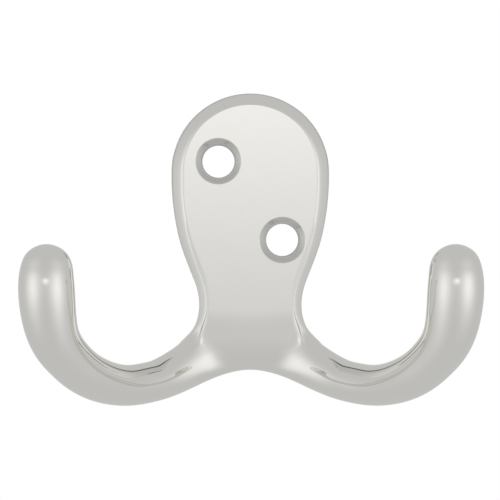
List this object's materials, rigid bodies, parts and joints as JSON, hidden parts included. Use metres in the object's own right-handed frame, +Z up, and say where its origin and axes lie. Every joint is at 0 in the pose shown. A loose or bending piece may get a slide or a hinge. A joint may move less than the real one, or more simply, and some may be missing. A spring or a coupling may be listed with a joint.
{
  "type": "double robe hook",
  "caption": "Polished double robe hook cast in one piece: pear-shaped back plate with countersunk screw holes, running down into a pair of round arms with upturned rounded tips.",
  "frame": {"origin": "on the flat back face, midway between the two screw holes", "axes": "+Y into the wall, so the hook stands out towards -Y; +Z up; +X along the spread of the arms"},
  "size_m": [0.0758, 0.0324, 0.053],
  "materials": {
    "polished_nickel": "polished nickel plate over a die casting, mirror bright and slightly warm"
  },
  "bodies": {
    "root": {"double_robe_hook": "polished_nickel"}
  },
  "joints": []
}
